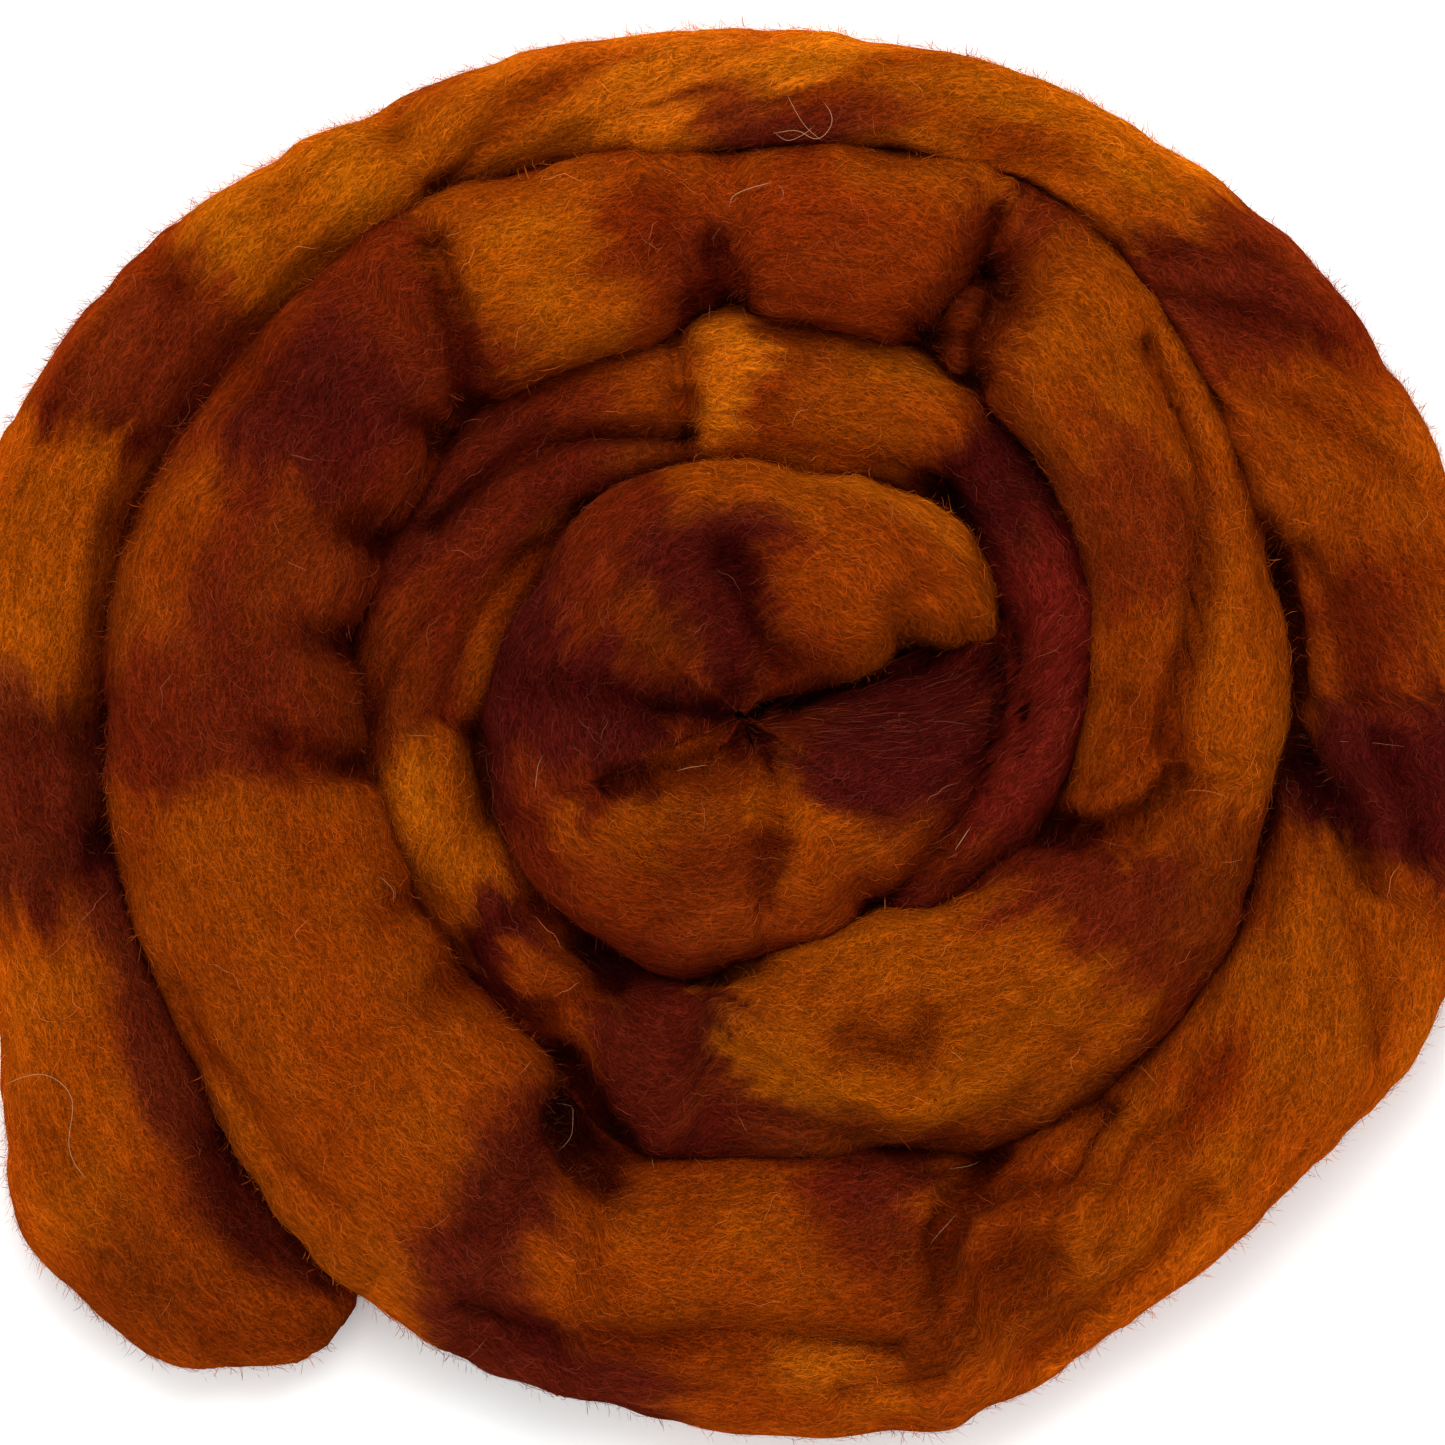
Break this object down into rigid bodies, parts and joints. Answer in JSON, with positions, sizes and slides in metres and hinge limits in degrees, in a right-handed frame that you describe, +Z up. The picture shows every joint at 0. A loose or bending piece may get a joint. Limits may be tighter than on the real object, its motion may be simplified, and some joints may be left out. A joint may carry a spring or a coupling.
{
  "type": "wool roving coil",
  "caption": "Loose strand of combed, hand-dyed wool laid down as a flat spiral coil with a blunt tail, ready for spinning or felting.",
  "frame": {"origin": "centre of the coil's outline, on the surface it rests on", "axes": "+Z up from the surface, +X to the right and +Y away from the viewer as the coil is seen from above in the picture; the tail ends at the lower left"},
  "size_m": [0.3984, 0.3654, 0.06],
  "materials": {
    "wool": "matt combed wool, hand-dyed orange with rust and burgundy patches, crimped fibres and a fine halo"
  },
  "bodies": {
    "root": {"roving": "wool"}
  },
  "joints": []
}
